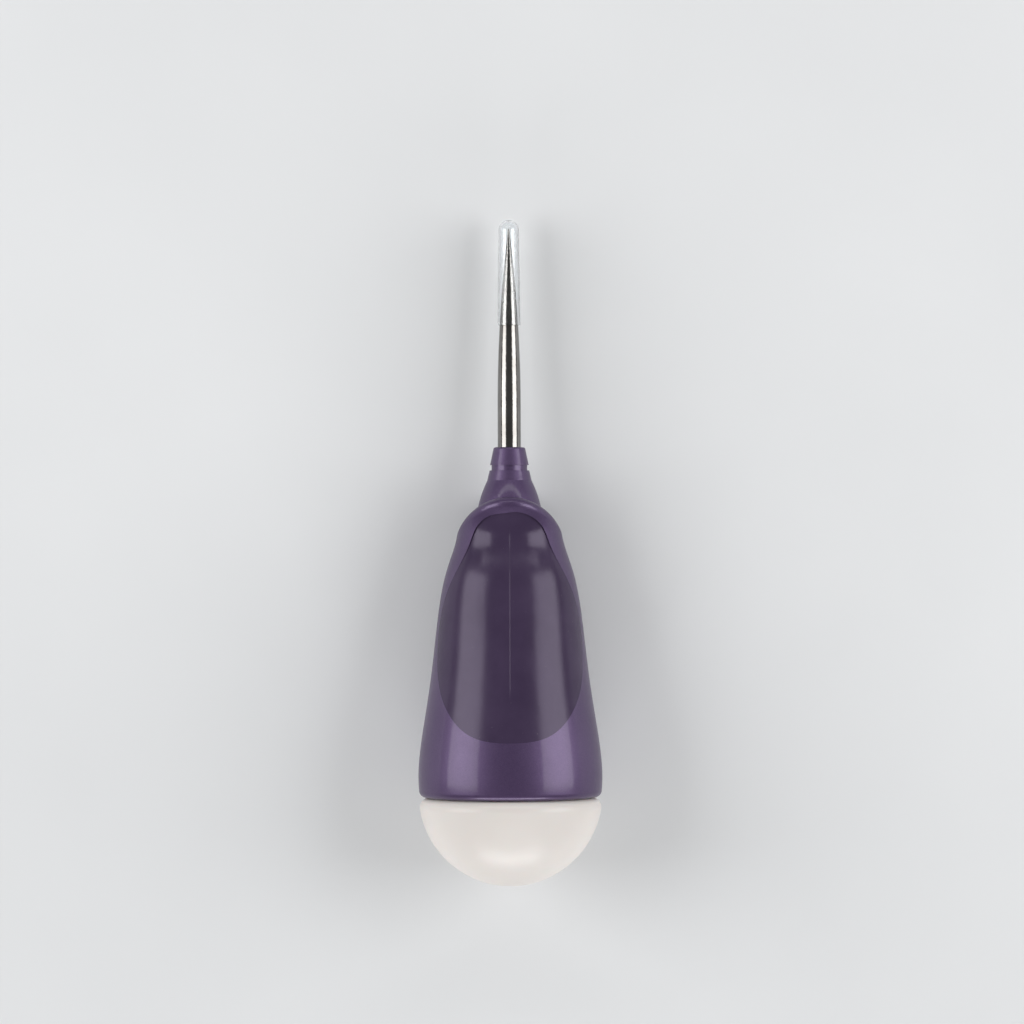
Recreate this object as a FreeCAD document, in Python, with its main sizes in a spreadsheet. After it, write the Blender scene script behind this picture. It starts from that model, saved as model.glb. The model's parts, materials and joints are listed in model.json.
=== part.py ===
import FreeCAD, Part
import os

import Sketcher
from FreeCAD import Placement, Rotation, Vector

# Ergonomic awl.  Every sub-part is drawn in the tool's own axes: Z runs along the needle with its point
# at the top, the joint between shell and palm cap is at Z = 0, X is the width and Y is the depth.
# The whole tool is then laid on a table, needle towards +Y, resting on the belly and the lower lip.

# The hull of the handle: an ellipse at each station, from the palm end to the brim of the hood.
# Each row is: place along Z, half width, half depth, how far the soft grip lies below the hull, depth of
# the bed under the grip, and thickness of the wall from the hull to the hollow inside.
STATIONS = {
    "palm": (1.6, 20.45, 17.80, 0.0, 1.8, 3.9),
    "belly": (5.0, 20.60, 17.95, 0.0, 1.8, 3.9),
    "flank": (19.0, 18.90, 16.60, 0.0, 1.8, 3.9),
    "waist": (35.0, 16.75, 14.50, 0.0, 1.8, 3.9),
    "throat": (47.5, 14.95, 12.15, 0.0, 1.6, 3.2),
    "collar": (52.8, 13.45, 11.00, 0.05, 1.5, 2.8),
    "neck": (57.0, 12.10, 10.00, 0.2, 1.4, 2.5),
    "lip": (62.0, 11.50, 11.25, 0.4, 1.5, 2.7),
    "brim": (69.0, 11.60, 11.50, 0.4, 1.5, 2.7),
}
STATION_FIELDS = ("at", "half_width", "half_depth", "sunk", "bed", "wall")

SIZES = {
    # handle shell
    "rim_steps": 4,
    "tongue_radius": 12.5,
    "tongue_apex": 67.1,
    "tongue_start": 56.5,
    "tongue_edge_radius": 1.5,
    # soft grips, half outline
    "leaf_end": 12.8,
    "leaf_heel_width": 9.5,
    "leaf_heel_at": 14.7,
    "leaf_corner_width": 15.0,
    "leaf_corner_at": 22.0,
    "leaf_widest": 16.2,
    "leaf_widest_at": 31.0,
    "leaf_throat_width": 13.2,
    "leaf_throat_at": 48.0,
    "leaf_neck_width": 8.8,
    "leaf_neck_at": 57.0,
    "leaf_arch_width": 7.4,
    "leaf_arch_at": 60.4,
    "leaf_crown_width": 4.6,
    "leaf_crown_at": 62.9,
    "leaf_tip": 63.7,
    # blade
    "blade_radius": 2.6,
    "blade_tip": 127.1,
    "blade_taper_start": 87.3,
    "blade_neck_radius": 2.3,
    "blade_tip_radius": 0.12,
    "flange_radius": 4.2,
    "flange_at": 57.0,
    "flange_thickness": 2.0,
    "tang_radius": 2.3,
    "tang_end": 24.0,
    "tang_flat": 1.7,
    "tang_flat_length": 18.0,
    # nose ferrule
    "nose_front": 78.3,
    "nose_front_radius": 3.5,
    "nose_edge_radius": 0.5,
    "nose_groove_front": 74.3,
    "nose_groove_back": 73.1,
    "nose_groove_radius": 4.0,
    "nose_bead_radius": 4.45,
    "nose_cone_at": 70.9,
    "nose_cone_radius": 4.95,
    "nose_skirt_at": 65.2,
    "nose_skirt_radius": 7.0,
    "nose_back": 59.0,
    "nose_bore_clearance": 0.02,
    # core spine
    "core_front": 57.0,
    "core_rear": 7.0,
    "core_clearance": 0.2,
    "core_tube_radius": 5.2,
    "core_rib": 2.0,
    "core_disc": 2.6,
    "core_mid_disc": 31.0,
    "core_pilot_depth": 12.0,
    # retainer plate and its screw
    "retainer_thickness": 2.0,
    "retainer_clearance": 0.25,
    "screw_radius": 1.75,
    "screw_head_radius": 3.6,
    "screw_head_thickness": 2.2,
    "screw_length": 10.0,
    "screw_slot_width": 0.9,
    "screw_slot_depth": 1.1,
    # palm cap
    "cap_height": 19.9,
    "cap_rise": 0.9,
    "cap_wall": 2.8,
    "cap_edge_radius": 2.2,
    "cap_joint": 0.06,
    "cap_flange": 2.4,
    "spigot_length": 3.6,
    "spigot_wall": 1.7,
    "spigot_clearance": 0.15,
    # point protector
    "protector_mouth": 105.6,
    "protector_end": 129.1,
    "protector_radius": 2.55,
    "protector_tip_radius": 2.25,
    "protector_wall": 0.45,
    # the tool lies on its belly and its lip, which are parted at this place along Z
    "contact_parting": 40.0,
}

doc = FreeCAD.newDocument("Awl")
dims = doc.addObject("Spreadsheet::Sheet", "Dims")


def fill_sheet():
    """Writes every driving dimension to the sheet, one alias per row."""
    rows = dict(SIZES)
    for station, values in STATIONS.items():
        for field, value in zip(STATION_FIELDS, values):
            rows[f"{station}_{field}"] = value
    for row, (alias, value) in enumerate(rows.items(), start=1):
        dims.set(f"A{row}", alias)
        dims.set(f"B{row}", str(value))
        dims.setAlias(f"B{row}", alias)
    doc.recompute()


def cell(expression):
    """An expression in the aliases, with the sheet's name put before each alias."""
    words = []
    for word in expression.replace("(", "( ").replace(")", " )").split():
        words.append(f"Dims.{word}" if word[0].isalpha() and not word.endswith("(") else word)
    return " ".join(words)


def size(expression):
    """The number that an expression in the aliases has now."""
    return float(dims.evalExpression(cell(expression)))


def new_body(label):
    body = doc.addObject("PartDesign::Body", label)
    body.Label = label
    return body


def new_sketch(body, name, plane="XY_Plane", offset=None):
    """A sketch on one of the body's origin planes, raised along its normal by an expression."""
    sketch = body.newObject("Sketcher::SketchObject", f"{body.Label}_{name}")
    support = next(feature for feature in body.Origin.OriginFeatures if feature.Role == plane)
    sketch.AttachmentSupport = [(support, "")]
    sketch.MapMode = "FlatFace"
    if offset is not None:
        sketch.setExpression("AttachmentOffset.Base.z", cell(offset))
    return sketch


def bind(sketch, constraint, expression):
    sketch.setExpression(f"Constraints[{sketch.addConstraint(constraint)}]", cell(expression))


def draw_ellipse(sketch, half_width, half_depth):
    """An ellipse round the sketch's origin with its long axis across the width."""
    across, deep = size(half_width), size(half_depth)
    curve = sketch.addGeometry(Part.Ellipse(Vector(across, 0, 0), Vector(0, deep, 0), Vector(0, 0, 0)))
    sketch.exposeInternalGeometry(curve)
    sketch.addConstraint(Sketcher.Constraint("Coincident", curve, 3, -1, 1))
    sketch.addConstraint(Sketcher.Constraint("Horizontal", curve + 1))
    bind(sketch, Sketcher.Constraint("Distance", curve + 1, 2 * across), f"2 * ( {half_width} )")
    bind(sketch, Sketcher.Constraint("Distance", curve + 2, 2 * deep), f"2 * ( {half_depth} )")


def draw_circle(sketch, radius):
    curve = sketch.addGeometry(Part.Circle(Vector(0, 0, 0), Vector(0, 0, 1), size(radius)))
    sketch.addConstraint(Sketcher.Constraint("Coincident", curve, 3, -1, 1))
    bind(sketch, Sketcher.Constraint("Radius", curve, size(radius)), radius)


def draw_outline(sketch, corners, arcs=None):
    """A closed outline through corners given as pairs of expressions.

    arcs maps the number of a side to (radius expression, +1 or -1): that side is an arc that bows to the
    left (+1) or the right (-1) of the way from its first corner to its second.
    """
    arcs = arcs or {}
    points = [Vector(size(x), size(y), 0) for x, y in corners]
    sides = []
    for number, start in enumerate(points):
        end = points[(number + 1) % len(points)]
        if number in arcs:
            radius, side = size(arcs[number][0]), arcs[number][1]
            chord = end - start
            normal = Vector(-chord.y, chord.x, 0).normalize() * side
            bow = radius - (radius**2 - (chord.Length / 2) ** 2) ** 0.5
            shape = Part.Arc(start, (start + end) / 2 + normal * bow, end)
        else:
            shape = Part.LineSegment(start, end)
        sides.append(sketch.addGeometry(shape))
    for number, (x, y) in enumerate(corners):
        side, before = sides[number], sides[number - 1]
        first = arc_point(number, arcs, True)
        sketch.addConstraint(Sketcher.Constraint("Coincident", before, arc_point(
            (number - 1) % len(corners), arcs, False), side, first))
        place_point(sketch, side, first, x, y)
    for number, (radius, _) in arcs.items():
        bind(sketch, Sketcher.Constraint("Radius", sides[number], size(radius)), radius)


def arc_point(number, arcs, first):
    """1 or 2, the end of a side where it starts or stops; an arc counts its ends anticlockwise."""
    runs_backwards = number in arcs and arcs[number][1] > 0
    return 2 if first == runs_backwards else 1


def place_point(sketch, side, end, x, y):
    """Ties one end of a side to the sketch's origin by its two coordinates."""
    for axis, kind, expression in ((-2, "DistanceX", x), (-1, "DistanceY", y)):
        if size(expression) == 0:
            sketch.addConstraint(Sketcher.Constraint("PointOnObject", side, end, axis))
        else:
            bind(sketch, Sketcher.Constraint(kind, -1, 1, side, end, size(expression)), expression)


def revolve(body, corners, arcs=None, name="Revolution", kind="PartDesign::Revolution"):
    """Turns an outline drawn in the XZ plane a full turn about the tool's axis."""
    sketch = new_sketch(body, f"{name}_outline", "XZ_Plane")
    draw_outline(sketch, corners, arcs)
    feature = body.newObject(kind, f"{body.Label}_{name}")
    feature.Profile = sketch
    feature.ReferenceAxis = (sketch, ["V_Axis"])
    feature.Angle = 360.0
    doc.recompute()
    return feature


def pad(body, sketch, length, name="Pad", reversed_way=False):
    feature = body.newObject("PartDesign::Pad", f"{body.Label}_{name}")
    feature.Profile = sketch
    feature.Reversed = reversed_way
    feature.setExpression("Length", cell(length))
    doc.recompute()
    return feature


def pocket(body, sketch, name, length=None, reversed_way=False, both_ways=False):
    """Cuts a sketch out of the body and stops the build if nothing was cut."""
    before = body.Shape.Volume
    feature = body.newObject("PartDesign::Pocket", f"{body.Label}_{name}")
    feature.Profile = sketch
    feature.Reversed = reversed_way
    if both_ways:
        feature.Midplane = True
    if length is None:
        feature.Type = "ThroughAll"
    else:
        feature.setExpression("Length", cell(length))
    doc.recompute()
    if not body.Shape.Volume < before - 1e-3:
        raise RuntimeError(f"{feature.Name} cuts nothing")
    return feature


def loft(body, name, ellipses, kind="PartDesign::AdditiveLoft"):
    """A smooth loft through ellipses, each given as (place along Z, half width, half depth)."""
    sections = []
    for number, (height, half_width, half_depth) in enumerate(ellipses):
        sketch = new_sketch(body, f"{name}_{number}", offset=height)
        draw_ellipse(sketch, half_width, half_depth)
        sections.append(sketch)
    feature = body.newObject(kind, f"{body.Label}_{name}")
    feature.Profile = sections[0]
    feature.Sections = sections[1:]
    doc.recompute()
    return feature


def hull(inset="0"):
    """The hull's ellipses, each drawn in by an inset: an expression with {} for the station's name."""
    rows = []
    for station in STATIONS:
        drawn_in = inset.format(station)
        rows.append((f"{station}_at", f"{station}_half_width - {drawn_in}",
                     f"{station}_half_depth - {drawn_in}"))
    return rows


def rim():
    """The ellipses of the rounded edge at the palm end, a quarter round as high as the palm station."""
    rows = []
    for step in range(SIZES["rim_steps"] + 1):
        turn = step * 90.0 / SIZES["rim_steps"]
        inset = f"palm_at * ( 1 - sin( {turn} ) )"
        rows.append((f"palm_at * ( 1 - cos( {turn} ) )", f"palm_half_width - {inset}",
                     f"palm_half_depth - {inset}"))
    return rows


def longest_edge(shape, low, high):
    """The name of the longest edge that lies between two heights."""
    found = None
    for number, edge in enumerate(shape.Edges, start=1):
        box = edge.BoundBox
        if box.ZMin > low - 0.05 and box.ZMax < high + 0.05:
            if found is None or edge.Length > found[1]:
                found = (f"Edge{number}", edge.Length)
    return found[0]


def round_edge(body, low, high, radius):
    """Rounds the longest edge between two heights."""
    base = body.Tip
    feature = body.newObject("PartDesign::Fillet", f"{body.Label}_Fillet")
    feature.Base = (base, [longest_edge(base.Shape, low, high)])
    feature.setExpression("Radius", cell(radius))
    doc.recompute()
    return feature


def cut_tongue(body):
    """Trims the hood to a rounded tongue seen from the front, which also makes the arched brim."""
    half_chord = "sqrt( tongue_radius ^ 2 - ( tongue_start - tongue_apex + tongue_radius ) ^ 2 )"
    far, top = "palm_half_width * 1.5", "tongue_apex + 10"
    sketch = new_sketch(body, "tongue", "XZ_Plane")
    corners = [
        (half_chord, "tongue_start"), (far, "tongue_start"), (far, top),
        (f"-1 * ( {far} )", top), (f"-1 * ( {far} )", "tongue_start"), (f"-1 * {half_chord}", "tongue_start"),
    ]
    draw_outline(sketch, corners, {5: ("tongue_radius", 1)})
    pocket(body, sketch, "tongue_cut", both_ways=True)


def make_shell_blank():
    """The hard handle before the grips are let into it: hull, hollow and hood."""
    body = new_body("shell_blank")
    loft(body, "rim", rim())
    loft(body, "hull", hull())
    loft(body, "hollow", hull("{}_wall"), kind="PartDesign::SubtractiveLoft")
    mouth = new_sketch(body, "mouth", offset="palm_at")
    draw_ellipse(mouth, "palm_half_width - palm_wall", "palm_half_depth - palm_wall")
    pocket(body, mouth, "mouth_cut")
    cut_tongue(body)
    round_edge(body, size("tongue_start"), size("tongue_apex"), "tongue_edge_radius")
    return body


def leaf_curve():
    """The grip's closed outline seen from the front: a broad heel, full sides and an arch under the rim."""
    half = [
        ("leaf_crown_width", "leaf_crown_at"), ("leaf_arch_width", "leaf_arch_at"),
        ("leaf_neck_width", "leaf_neck_at"), ("leaf_throat_width", "leaf_throat_at"),
        ("leaf_widest", "leaf_widest_at"), ("leaf_corner_width", "leaf_corner_at"),
        ("leaf_heel_width", "leaf_heel_at"),
    ]
    right = [Vector(size(x), size(z), 0) for x, z in half]
    left = [Vector(-point.x, point.y, 0) for point in reversed(right)]
    curve = Part.BSplineCurve()
    heel, tip = Vector(0, size("leaf_end"), 0), Vector(0, size("leaf_tip"), 0)
    curve.interpolate([tip, *right, heel, *left], PeriodicFlag=True)
    return curve


def make_leaf(label, side, sunk="0"):
    """The skin of the hull inside the leaf outline, on the front (-1) or the back (+1), sunk by an inset."""
    body = new_body(label)
    loft(body, "hull", hull(sunk))
    loft(body, "floor", hull("{}_bed"), kind="PartDesign::SubtractiveLoft")
    far = 1.5 * size("palm_half_width")
    top = size("tongue_apex") + 10.0
    sketch = new_sketch(body, "leaf", "XZ_Plane")
    sketch.addGeometry(leaf_curve())
    frame = [Vector(far, -far, 0), Vector(far, top, 0), Vector(-far, top, 0), Vector(-far, -far, 0)]
    for number, start in enumerate(frame):
        sketch.addGeometry(Part.LineSegment(start, frame[(number + 1) % 4]))
    pocket(body, sketch, "leaf_cut", both_ways=True)
    half = new_sketch(body, "other_half")
    draw_outline(half, [(f"{-far}", "0"), (f"{far}", "0"), (f"{far}", f"{-side * far}"),
                        (f"{-far}", f"{-side * far}")])
    pocket(body, half, "other_half_cut", both_ways=True)
    return body


def make_shell(blank, beds):
    """The handle shell: the blank with the bed of each grip cut out of it."""
    base = blank
    for bed in beds:
        cut = doc.addObject("Part::Cut", f"shell_less_{bed.Label}")
        cut.Base = base
        cut.Tool = bed
        base = cut
    doc.recompute()
    base.Label = "handle_shell"
    return base


def make_blade():
    """The steel spike, its flange and the tang with two flats."""
    body = new_body("blade")
    taper = "( blade_tip - blade_taper_start )"
    drop = "( blade_radius - blade_tip_radius )"
    taper_radius = f"( {taper} ^ 2 + {drop} ^ 2 ) / ( 2 * {drop} )"
    corners = [
        ("0", "tang_end"), ("tang_radius", "tang_end"), ("tang_radius", "flange_at"),
        ("flange_radius", "flange_at"), ("flange_radius", "flange_at + flange_thickness"),
        ("blade_neck_radius", "flange_at + flange_thickness"), ("blade_neck_radius", "nose_front"),
        ("blade_radius", "nose_front"), ("blade_radius", "blade_taper_start"),
        ("blade_tip_radius", "blade_tip"), ("0", "blade_tip"),
    ]
    revolve(body, corners, {8: (taper_radius, -1)})
    for name, side in (("left", 1), ("right", -1)):
        flat = new_sketch(body, f"flat_{name}", offset="tang_end")
        near, far = f"{side} * tang_flat", f"{side} * 2 * tang_radius"
        draw_outline(flat, [(near, "-2 * tang_radius"), (far, "-2 * tang_radius"),
                            (far, "2 * tang_radius"), (near, "2 * tang_radius")])
        pocket(body, flat, f"flat_{name}_cut", "tang_flat_length", reversed_way=True)
    return body


def make_nose():
    """The collar, its groove, the cone and the skirt that goes inside the hood, bored for the blade."""
    body = new_body("nose_ferrule")
    bore = "blade_neck_radius + nose_bore_clearance"
    corners = [
        (bore, "nose_back"), ("nose_skirt_radius", "nose_back"), ("nose_skirt_radius", "nose_skirt_at"),
        ("nose_cone_radius", "nose_cone_at"), ("nose_bead_radius", "nose_groove_back"),
        ("nose_groove_radius", "nose_groove_back"), ("nose_groove_radius", "nose_groove_front"),
        ("nose_bead_radius - 0.1", "nose_groove_front"),
        ("nose_front_radius + 0.1", "nose_front - nose_edge_radius"),
        ("nose_front_radius - nose_edge_radius", "nose_front"), (bore, "nose_front"),
    ]
    arcs = {2: ("nose_skirt_radius * 4", -1), 8: ("nose_edge_radius * 1.1", -1)}
    revolve(body, corners, arcs)
    return body


def make_core():
    """A cross-ribbed core: a tube for the tang, four ribs and three discs that fill the shell's hollow."""
    body = new_body("core_spine")
    loft(body, "filling", hull("{}_wall - core_clearance"))
    ends = (("front", "core_front", False), ("rear", "core_rear", True))
    for name, height, downwards in ends:
        sketch = new_sketch(body, f"trim_{name}", offset=height)
        draw_circle(sketch, "palm_half_width * 2")
        pocket(body, sketch, f"trim_{name}_cut", reversed_way=not downwards)
    bays = (("rear", "core_rear + core_disc", "core_mid_disc - core_rear - core_disc"),
            ("front", "core_mid_disc + core_disc", "core_front - core_mid_disc - 2 * core_disc"))
    for name, start, length in bays:
        for quarter, (x, y) in enumerate(((1, 1), (-1, 1), (-1, -1), (1, -1))):
            sketch = new_sketch(body, f"bay_{name}_{quarter}", offset=start)
            draw_bay(sketch, x, y)
            pocket(body, sketch, f"bay_{name}_{quarter}_cut", length, reversed_way=True)
    bore_core(body)
    return body


def draw_bay(sketch, x, y):
    """One quarter of the room between the ribs, outside the central tube."""
    rib = "core_rib / 2"
    tube = "sqrt( core_tube_radius ^ 2 - ( core_rib / 2 ) ^ 2 )"
    far = "palm_half_width * 1.5"
    corners = [(tube, rib), (far, rib), (far, far), (rib, far), (rib, tube)]
    placed = [(f"{x} * {across}", f"{y} * {deep}") for across, deep in corners]
    draw_outline(sketch, placed, {4: ("core_tube_radius", x * y)})


def bore_core(body):
    """The seat of the tang from the front and the screw's pilot hole from the rear."""
    seat = new_sketch(body, "tang_seat", offset="core_front")
    draw_circle(seat, "tang_radius")
    pocket(body, seat, "tang_seat_cut", "core_front - tang_end")
    pilot = new_sketch(body, "pilot", offset="core_rear")
    draw_circle(pilot, "screw_radius")
    pocket(body, pilot, "pilot_cut", "core_pilot_depth", reversed_way=True)


def make_retainer():
    """The plate that closes the shell's palm end behind the core, with a hole for its screw."""
    body = new_body("core_retainer")
    plate = new_sketch(body, "plate", offset="core_rear - retainer_thickness")
    draw_ellipse(plate, "belly_half_width - belly_wall - retainer_clearance",
                 "belly_half_depth - belly_wall - retainer_clearance")
    draw_circle(plate, "screw_radius")
    pad(body, plate, "retainer_thickness")
    return body


def make_screw():
    """The slotted pan-head screw that draws the retainer against the core."""
    body = new_body("core_screw")
    seat = "core_rear - retainer_thickness"
    corners = [
        ("0", f"{seat} - screw_head_thickness"), ("screw_head_radius * 0.6", f"{seat} - screw_head_thickness"),
        ("screw_head_radius", seat), ("screw_radius", seat), ("screw_radius", f"{seat} + screw_length"),
        ("0", f"{seat} + screw_length + screw_radius"),
    ]
    revolve(body, corners, {1: ("screw_head_radius", -1)})
    slot = new_sketch(body, "slot", offset=f"{seat} - screw_head_thickness")
    half_slot, reach = "screw_slot_width / 2", "screw_head_radius * 1.2"
    draw_outline(slot, [(f"-1 * {reach}", f"-1 * {half_slot}"), (reach, f"-1 * {half_slot}"),
                        (reach, half_slot), (f"-1 * {reach}", half_slot)])
    pocket(body, slot, "slot_cut", "screw_slot_depth", reversed_way=True)
    return body


def add_ellipsoid(body, kind, name, height, half_width, half_depth):
    """An ellipsoid primitive whose middle is cap_rise above the joint."""
    feature = body.newObject(kind, f"{body.Label}_{name}")
    support = next(plane for plane in body.Origin.OriginFeatures if plane.Role == "XY_Plane")
    feature.AttachmentSupport = [(support, "")]
    feature.MapMode = "FlatFace"
    feature.Angle1 = -90.0
    feature.setExpression("AttachmentOffset.Base.z", cell("cap_rise"))
    feature.setExpression("Radius1", cell(height))
    feature.setExpression("Radius2", cell(half_width))
    feature.setExpression("Radius3", cell(half_depth))
    doc.recompute()
    return feature


def make_cap():
    """The hollow white dome, its flange at the joint and the spigot that plugs into the shell."""
    body = new_body("palm_cap")
    add_ellipsoid(body, "PartDesign::AdditiveEllipsoid", "dome", "cap_height + cap_rise",
                  "belly_half_width", "belly_half_depth")
    lid = new_sketch(body, "lid", offset="-1 * cap_joint")
    draw_circle(lid, "palm_half_width * 2")
    pocket(body, lid, "lid_cut", reversed_way=True)
    round_edge(body, -size("cap_joint"), -size("cap_joint"), "cap_edge_radius")
    add_ellipsoid(body, "PartDesign::SubtractiveEllipsoid", "hollow", "cap_height + cap_rise - cap_wall",
                  "belly_half_width - cap_wall", "belly_half_depth - cap_wall")
    spigot = ("palm_half_width - palm_wall - spigot_clearance",
              "palm_half_depth - palm_wall - spigot_clearance")
    flange = new_sketch(body, "flange", offset="-1 * cap_joint")
    draw_ellipse(flange, "belly_half_width - cap_wall * 0.8", "belly_half_depth - cap_wall * 0.8")
    draw_ellipse(flange, f"{spigot[0]} - spigot_wall", f"{spigot[1]} - spigot_wall")
    pad(body, flange, "cap_flange", "flange_pad", reversed_way=True)
    ring = new_sketch(body, "spigot", offset="-1 * cap_joint")
    draw_ellipse(ring, *spigot)
    draw_ellipse(ring, f"{spigot[0]} - spigot_wall", f"{spigot[1]} - spigot_wall")
    pad(body, ring, "spigot_length", "spigot_pad")
    return body


def make_protector():
    """The clear sleeve on the point: open at its mouth, slightly tapered, closed by a dome."""
    body = new_body("point_protector")
    dome = "protector_end - protector_tip_radius"
    inner_tip = "protector_tip_radius - protector_wall"
    corners = [
        ("protector_radius - protector_wall", "protector_mouth"), ("protector_radius", "protector_mouth"),
        ("protector_tip_radius", dome), ("0", "protector_end"),
        ("0", "protector_end - protector_wall"), (inner_tip, dome),
    ]
    revolve(body, corners, {2: ("protector_tip_radius", -1), 4: (inner_tip, 1)})
    return body


def turned(shape, tilt):
    """A copy of a shape with the needle turned from +Z to +Y and dipped by a tilt in degrees."""
    copy = shape.copy()
    copy.Placement = Placement(Vector(0, 0, 0), Rotation(Vector(1, 0, 0), -90.0 - tilt))
    return copy


def lying_tilt(hull_shape):
    """The dip of the needle at which the lip and the belly are equally low, found by halving."""
    reach = 2 * size("palm_half_width")
    parting = size("contact_parting")
    belly_side = Part.makeBox(2 * reach, 2 * reach, parting, Vector(-reach, -reach, 0))
    lip, belly = hull_shape.cut(belly_side), hull_shape.common(belly_side)
    low, high = 0.0, 20.0
    while high - low > 1e-4:
        middle = (low + high) / 2
        lip_floor = turned(lip, middle).optimalBoundingBox(False).ZMin
        belly_floor = turned(belly, middle).optimalBoundingBox(False).ZMin
        if lip_floor > belly_floor:
            low = middle
        else:
            high = middle
    return (low + high) / 2


def lying_placement(hull_shape, shapes):
    """Lays the tool down with its lowest points on Z = 0 and its box centred on X and Y."""
    tilt = lying_tilt(hull_shape)
    box = turned(Part.makeCompound(shapes), tilt).optimalBoundingBox(False)
    print(f"needle dips {tilt:.4f} degrees, cap joint at Y {-box.Center.y:.4f} Z {-box.ZMin:.4f}")
    return Placement(Vector(-box.Center.x, -box.Center.y, -box.ZMin), Rotation(Vector(1, 0, 0), -90.0 - tilt))


def export(parts):
    """Checks every object and writes each sub-part to its own STEP file."""
    failed = [item.Name for item in doc.Objects if "Invalid" in item.State or "Error" in item.State]
    if failed:
        raise RuntimeError(f"failed objects: {failed}")
    os.makedirs("parts", exist_ok=True)
    for part in parts:
        if part.Shape.isNull() or not part.Shape.isValid() or len(part.Shape.Solids) != 1:
            raise RuntimeError(f"{part.Label} is not one valid solid")
    for part in parts:
        part.Shape.exportStep(os.path.join("parts", f"{part.Label}.step"))
        print(f"{part.Label}: {part.Shape.Volume / 1000.0:.2f} cm3")


fill_sheet()
shell_blank = make_shell_blank()
beds = [make_leaf("bed_front", -1), make_leaf("bed_back", 1)]
grips = [make_leaf("grip_front", -1, "{}_sunk"), make_leaf("grip_back", 1, "{}_sunk")]
bodies = [make_blade(), make_nose(), make_core(), make_retainer(), make_screw(), make_cap(), make_protector()]
placement = lying_placement(shell_blank.Shape, [item.Shape for item in [shell_blank, *grips, *bodies]])
for item in [shell_blank, *beds, *grips, *bodies]:
    item.Placement = placement
handle_shell = make_shell(shell_blank, beds)
doc.recompute()
export([handle_shell, *grips, *bodies])
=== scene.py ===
import json
import math

import bpy
from mathutils import Matrix, Vector
from mathutils.bvhtree import BVHTree


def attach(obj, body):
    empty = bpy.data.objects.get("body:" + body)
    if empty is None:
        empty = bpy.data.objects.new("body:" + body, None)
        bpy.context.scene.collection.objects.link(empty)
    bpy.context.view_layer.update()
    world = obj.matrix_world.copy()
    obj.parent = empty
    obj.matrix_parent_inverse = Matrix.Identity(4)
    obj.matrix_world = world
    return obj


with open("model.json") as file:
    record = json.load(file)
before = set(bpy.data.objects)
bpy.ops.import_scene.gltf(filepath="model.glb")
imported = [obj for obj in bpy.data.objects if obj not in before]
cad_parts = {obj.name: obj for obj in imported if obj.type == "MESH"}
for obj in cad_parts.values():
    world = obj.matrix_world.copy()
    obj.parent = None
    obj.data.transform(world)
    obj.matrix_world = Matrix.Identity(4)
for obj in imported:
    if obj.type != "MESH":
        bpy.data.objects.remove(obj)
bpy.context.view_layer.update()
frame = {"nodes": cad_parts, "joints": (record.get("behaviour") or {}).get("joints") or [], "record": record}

# The tool's own axes, in millimetres: s runs along the needle from the cap joint, x is the width and
# f points out of the upper soft grip.  place() turns them into the row frame, in metres.
MM = 0.001
ROOT_MIDDLE = 82.8  # s at the middle of the needle's plain root, where the record's mount lies
HANDLE_MIDDLE = 50.0  # s that the lights are aimed at
AXIS = Vector(frame["joints"][0]["axis"]).normalized()
ACROSS = Vector((1.0, 0.0, 0.0))
FRONT = ACROSS.cross(AXIS)
ORIGIN = Vector(frame["record"]["mounts"][0]["pos_m"]) - AXIS * ROOT_MIDDLE * MM


def place(x, f, s):
    return ORIGIN + (ACROSS * x + FRONT * f + AXIS * s) * MM


# ---------------------------------------------------------------- materials

# The Mix node has one set of sockets per data type; these are the colour ones.
MIX_FIRST, MIX_SECOND, MIX_RESULT = 6, 7, 2


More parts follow.
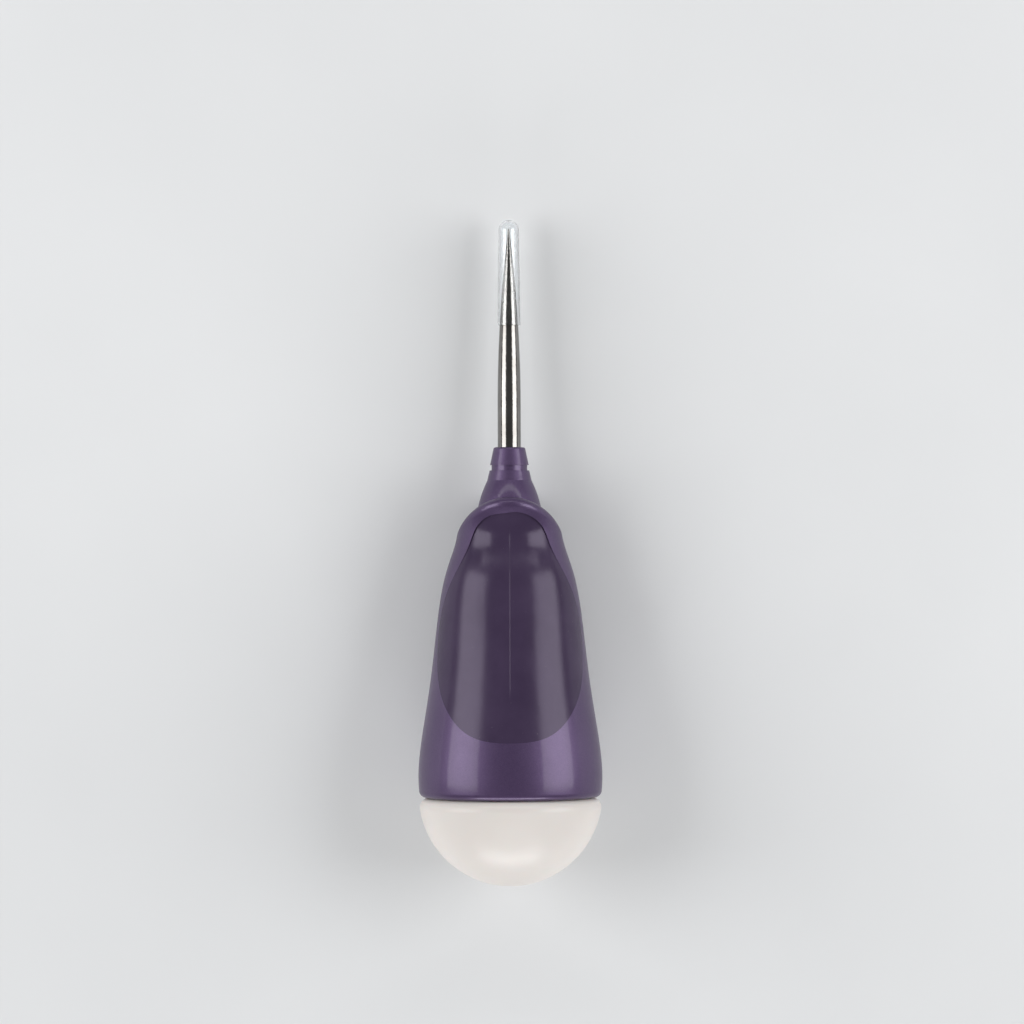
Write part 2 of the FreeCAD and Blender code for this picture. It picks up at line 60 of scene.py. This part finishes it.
class Nodes:
    """A small helper round one material's node tree.  Texture scales are per metre."""

    def __init__(self, name):
        self.material = bpy.data.materials.new(name)
        self.material.use_nodes = True
        self.tree = self.material.node_tree
        self.shader = self.tree.nodes["Principled BSDF"]
        self.coordinates = self.add("ShaderNodeTexCoord").outputs["Object"]

    def add(self, kind):
        return self.tree.nodes.new(kind)

    def link(self, output, target):
        self.tree.links.new(output, target)

    def feed(self, socket, value):
        """Links a node's output to a socket, or sets the socket to a plain value."""
        if isinstance(value, bpy.types.NodeSocket):
            self.link(value, socket)
        else:
            socket.default_value = value

    def set(self, **values):
        """Sets the shader's inputs; an underscore stands for a space in an input's name."""
        for key, value in values.items():
            self.feed(self.shader.inputs[key.replace("_", " ")], value)

    def stretched(self, scale):
        """Object coordinates stretched by a scale per axis."""
        mapping = self.add("ShaderNodeMapping")
        mapping.inputs["Scale"].default_value = scale
        self.link(self.coordinates, mapping.inputs["Vector"])
        return mapping.outputs["Vector"]

    def noise(self, scale, detail=3.0, vector=None):
        node = self.add("ShaderNodeTexNoise")
        node.inputs["Scale"].default_value = scale
        node.inputs["Detail"].default_value = detail
        self.link(vector or self.coordinates, node.inputs["Vector"])
        return node.outputs["Fac"]

    def cells(self, scale):
        node = self.add("ShaderNodeTexVoronoi")
        node.inputs["Scale"].default_value = scale
        self.link(self.coordinates, node.inputs["Vector"])
        return node

    def ramp(self, factor, start, start_colour, end, end_colour):
        """Goes from one colour to another while the factor goes from start to end."""
        node = self.add("ShaderNodeValToRGB")
        first, last = node.color_ramp.elements
        first.position, first.color = start, (*start_colour, 1.0)
        last.position, last.color = end, (*end_colour, 1.0)
        self.link(factor, node.inputs["Fac"])
        return node.outputs["Color"]

    def blend(self, factor, first, second):
        """Mixes two colours; each argument is a node's output or a plain value."""
        node = self.add("ShaderNodeMix")
        node.data_type = "RGBA"
        self.feed(node.inputs["Factor"], factor)
        self.feed(node.inputs[MIX_FIRST], first)
        self.feed(node.inputs[MIX_SECOND], second)
        return node.outputs[MIX_RESULT]

    def spread(self, factor, low, high):
        """Maps 0..1 to low..high."""
        node = self.add("ShaderNodeMapRange")
        node.inputs["To Min"].default_value = low
        node.inputs["To Max"].default_value = high
        self.link(factor, node.inputs["Value"])
        return node.outputs["Result"]

    def bump(self, height, distance, strength, below=None):
        """A relief of a depth in metres, on top of another relief where one is given."""
        node = self.add("ShaderNodeBump")
        node.inputs["Strength"].default_value = strength
        node.inputs["Distance"].default_value = distance
        self.link(height, node.inputs["Height"])
        if below is not None:
            self.link(below, node.inputs["Normal"])
        return node.outputs["Normal"]


def metallic_violet():
    """Pearl violet lacquer: flakes, a slow change of tone, a gloss coat with faint orange peel."""
    m = Nodes("metallic_violet")
    flakes = m.cells(scale=9000.0)
    tone = m.noise(scale=60.0, detail=2.0)
    flake_tone = m.ramp(flakes.outputs["Color"], 0.0, (0.059, 0.034, 0.092), 1.0, (0.120, 0.076, 0.172))
    slow_tone = m.ramp(tone, 0.35, (0.069, 0.040, 0.105), 0.65, (0.090, 0.055, 0.132))
    m.set(Base_Color=m.blend(0.45, slow_tone, flake_tone))
    m.set(Metallic=0.50, Coat_Weight=0.30, Coat_Roughness=0.10)
    m.set(Roughness=m.spread(m.noise(scale=700.0), low=0.38, high=0.48))
    peel = m.bump(m.noise(scale=900.0, detail=2.0), distance=0.00002, strength=0.12)
    m.set(Normal=m.bump(flakes.outputs["Distance"], distance=0.00002, strength=0.10, below=peel))
    return m.material


def soft_grip():
    """Soft-touch elastomer: smooth skin with a fine moulded grain, dust specks and faint scuffs."""
    m = Nodes("soft_grip")
    dust = (0.16, 0.14, 0.17, 1.0)
    black, white = (0.0, 0.0, 0.0), (1.0, 1.0, 1.0)
    tone = m.ramp(m.noise(scale=120.0, detail=4.0), 0.3, (0.043, 0.028, 0.061), 0.7, (0.055, 0.037, 0.076))
    specks = m.ramp(m.noise(scale=2600.0, detail=2.0), 0.75, black, 0.82, white)
    m.set(Base_Color=m.blend(specks, tone, dust))
    m.set(Specular_IOR_Level=0.33, Specular_Tint=(0.90, 0.82, 1.0, 1.0))
    scuffs = m.noise(scale=1.0, detail=2.0, vector=m.stretched((900.0, 60.0, 900.0)))
    m.set(Roughness=m.spread(scuffs, low=0.17, high=0.28))
    grain = m.bump(m.noise(scale=6000.0, detail=2.0), distance=0.00002, strength=0.08)
    m.set(Normal=m.bump(m.noise(scale=260.0), distance=0.00006, strength=0.10, below=grain))
    return m.material


def white_satin():
    """Satin white plastic with a fine spark-eroded texture."""
    m = Nodes("white_satin")
    tone = m.ramp(m.noise(scale=45.0), 0.3, (0.710, 0.668, 0.632), 0.7, (0.750, 0.708, 0.676))
    m.set(Base_Color=tone)
    m.set(Subsurface_Weight=0.08, Subsurface_Scale=0.002, Specular_IOR_Level=0.45)
    m.set(Roughness=m.spread(m.noise(scale=1800.0), low=0.30, high=0.42))
    m.set(Normal=m.bump(m.noise(scale=5200.0, detail=2.0), distance=0.00002, strength=0.20))
    return m.material


def polished_steel():
    """Ground and polished steel: fine lines run along the needle, with a few cloudy patches."""
    m = Nodes("polished_steel")
    tone = m.ramp(m.noise(scale=200.0), 0.3, (0.20, 0.19, 0.18), 0.7, (0.28, 0.27, 0.26))
    m.set(Base_Color=tone)
    m.set(Metallic=1.0, Anisotropic=0.35)
    lines = m.noise(scale=1.0, vector=m.stretched((9000.0, 250.0, 9000.0)))
    m.set(Roughness=m.spread(lines, low=0.10, high=0.20))
    m.set(Normal=m.bump(lines, distance=0.000008, strength=0.30))
    return m.material


def clear_plastic():
    """Clear soft vinyl, very slightly blue, with faint flow marks."""
    m = Nodes("clear_plastic")
    m.set(Base_Color=(0.965, 0.98, 0.99, 1.0), Transmission_Weight=1.0, IOR=1.44)
    m.set(Roughness=m.spread(m.noise(scale=400.0), low=0.02, high=0.08))
    m.set(Normal=m.bump(m.noise(scale=300.0, detail=2.0), distance=0.00003, strength=0.12))
    return m.material


def moulded_core():
    """Dark glass-filled nylon of the parts inside."""
    m = Nodes("moulded_core")
    tone = m.ramp(m.noise(scale=500.0, detail=4.0), 0.3, (0.030, 0.030, 0.034), 0.7, (0.060, 0.060, 0.066))
    m.set(Base_Color=tone)
    m.set(Roughness=m.spread(m.noise(scale=1500.0), low=0.45, high=0.7))
    m.set(Normal=m.bump(m.noise(scale=2500.0), distance=0.00003, strength=0.3))
    return m.material


def zinc_screw():
    """Bright zinc plate with fine scratches."""
    m = Nodes("zinc_screw")
    tone = m.ramp(m.noise(scale=900.0, detail=4.0), 0.3, (0.42, 0.43, 0.45), 0.7, (0.60, 0.61, 0.63))
    m.set(Base_Color=tone)
    m.set(Metallic=1.0)
    m.set(Roughness=m.spread(m.noise(scale=3000.0), low=0.22, high=0.4))
    m.set(Normal=m.bump(m.noise(scale=4000.0), distance=0.00001, strength=0.3))
    return m.material


def pale_floor():
    """Plain pale paper sweep."""
    m = Nodes("pale_floor")
    tone = m.ramp(m.noise(scale=12.0), 0.3, (0.72, 0.73, 0.74), 0.7, (0.75, 0.76, 0.77))
    m.set(Base_Color=tone)
    m.set(Specular_IOR_Level=0.2)
    m.set(Roughness=m.spread(m.noise(scale=400.0), low=0.75, high=0.9))
    return m.material


VIOLET = metallic_violet()
GRIP = soft_grip()
CORE = moulded_core()
FINISHES = {
    "blade": polished_steel(),
    "nose_ferrule": VIOLET,
    "handle_shell": VIOLET,
    "grip_front": GRIP,
    "grip_back": GRIP,
    "palm_cap": white_satin(),
    "point_protector": clear_plastic(),
    "core_spine": CORE,
    "core_retainer": CORE,
    "core_screw": zinc_screw(),
}

for name, node in frame["nodes"].items():
    for material_slot in node.material_slots:
        material_slot.material = FINISHES[name]


# ---------------------------------------------------------------- fine detail on the CAD shape


def surface_of(name):
    """A search tree of a node's surface in the row frame."""
    mesh = frame["nodes"][name].data
    world = frame["nodes"][name].matrix_world
    points = [world @ vertex.co for vertex in mesh.vertices]
    faces = [tuple(polygon.vertices) for polygon in mesh.polygons]
    return BVHTree.FromPolygons(points, faces)


def add_mesh(name, points, faces, material):
    """A smooth-shaded mesh that rides on the awl."""
    mesh = bpy.data.meshes.new(name)
    mesh.from_pydata(points, [], faces)
    mesh.materials.append(material)
    for polygon in mesh.polygons:
        polygon.use_smooth = True
    piece = bpy.data.objects.new(name, mesh)
    bpy.context.scene.collection.objects.link(piece)
    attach(piece, "awl")
    return piece


def parting_ridge(grip, side):
    """The mould's fine parting line, which stands up along the middle of a grip, in millimetres."""
    start, end, steps, across = 21.5, 63.2, 240, 8
    half_width, height, root = 0.16, 0.055, -0.05
    rise, fall = 6.0, 12.0  # the ridge grows over the first sixth and fades over the last twelfth
    clear_of_grip = 40.0
    crest_power = 0.5
    surface = surface_of(grip)
    outward = side * FRONT
    points = []
    for step in range(steps + 1):
        s = start + (end - start) * step / steps
        fade = min(1.0, rise * step / steps, fall * (steps - step) / steps)
        for index in range(across + 1):
            turn = 2.0 * index / across - 1.0
            hit = surface.ray_cast(place(half_width * turn, side * clear_of_grip, s), -outward)
            crest = root + (height * fade - root) * math.cos(turn * math.pi / 2) ** crest_power
            points.append(hit[0] + outward * crest * MM)
    row = across + 1
    faces = []
    for step in range(steps):
        for index in range(across):
            corner = step * row + index
            faces.append((corner, corner + 1, corner + row + 1, corner + row))
    add_mesh(f"parting_ridge_{grip}", points, faces, FINISHES[grip])


parting_ridge("grip_front", 1)
parting_ridge("grip_back", -1)


# ---------------------------------------------------------------- stage, light and camera


def make_floor():
    side = 3.0
    mesh = bpy.data.meshes.new("floor")
    corners = [(-side, -side, 0), (side, -side, 0), (side, side, 0), (-side, side, 0)]
    mesh.from_pydata(corners, [], [(0, 1, 2, 3)])
    floor = bpy.data.objects.new("floor", mesh)
    floor.data.materials.append(pale_floor())
    bpy.context.scene.collection.objects.link(floor)


# Each light: its name, its offset from the middle of the handle, its width and height, all in
# metres, and its power in watts.  The two side panels leave the middle of the glossy parts dark,
# the palm box lights the dome, and the front strip lights the hood's rim and the ferrule.
SOFTBOXES = [
    ("left_box", (-0.70, 0.13, 0.46), 0.58, 0.62, 4.8),
    ("right_box", (0.70, 0.13, 0.46), 0.58, 0.62, 4.8),
    ("palm_box", (0.0, -0.95, 0.26), 0.9, 0.26, 5.8),
    ("front_box", (0.0, 0.695, 0.571), 1.6, 0.10, 2.3),
]
AMBIENT = 0.13


def softbox(name, offset, width, height, power):
    """An area light that faces the tool: a side one across X only, an end one straight at it."""
    light = bpy.data.lights.new(name, "AREA")
    light.shape = "RECTANGLE"
    light.size, light.size_y = width, height
    light.energy = power
    lamp = bpy.data.objects.new(name, light)
    middle = place(0, 0, HANDLE_MIDDLE)
    lamp.location = middle + Vector(offset)
    sideways = offset[0] != 0.0
    aim = middle + Vector((0.0, offset[1] if sideways else 0.0, 0.0)) - lamp.location
    along = Vector((0.0, 1.0, 0.0)) if sideways else ACROSS
    back = -aim.normalized()
    lamp.rotation_euler = Matrix((along, back.cross(along), back)).transposed().to_euler()
    bpy.context.scene.collection.objects.link(lamp)


def make_lights():
    world = bpy.data.worlds.new("studio")
    world.use_nodes = True
    background = world.node_tree.nodes["Background"]
    background.inputs["Color"].default_value = (1.0, 1.0, 1.0, 1.0)
    background.inputs["Strength"].default_value = AMBIENT
    bpy.context.scene.world = world
    for box in SOFTBOXES:
        softbox(*box)


def make_camera():
    """A long lens square to the upper grip, with the needle up in the picture."""
    view_width, distance, sensor = 0.2291, 1.1, 36.0
    roll = math.radians(0.19)
    centre = place(x=0.55, f=0.0, s=63.8)
    data = bpy.data.cameras.new("camera")
    data.sensor_width = sensor
    data.lens = sensor * distance / view_width
    data.clip_start, data.clip_end = 0.05, 20.0
    camera = bpy.data.objects.new("camera", data)
    up = (AXIS * math.cos(roll) + ACROSS * math.sin(roll)).normalized()
    right = up.cross(FRONT).normalized()
    turn = Matrix((right, up, FRONT)).transposed().to_4x4()
    camera.matrix_world = Matrix.Translation(centre + FRONT * distance) @ turn
    bpy.context.scene.collection.objects.link(camera)
    bpy.context.scene.camera = camera


make_floor()
make_lights()
make_camera()
bpy.context.scene.view_settings.view_transform = "Standard"
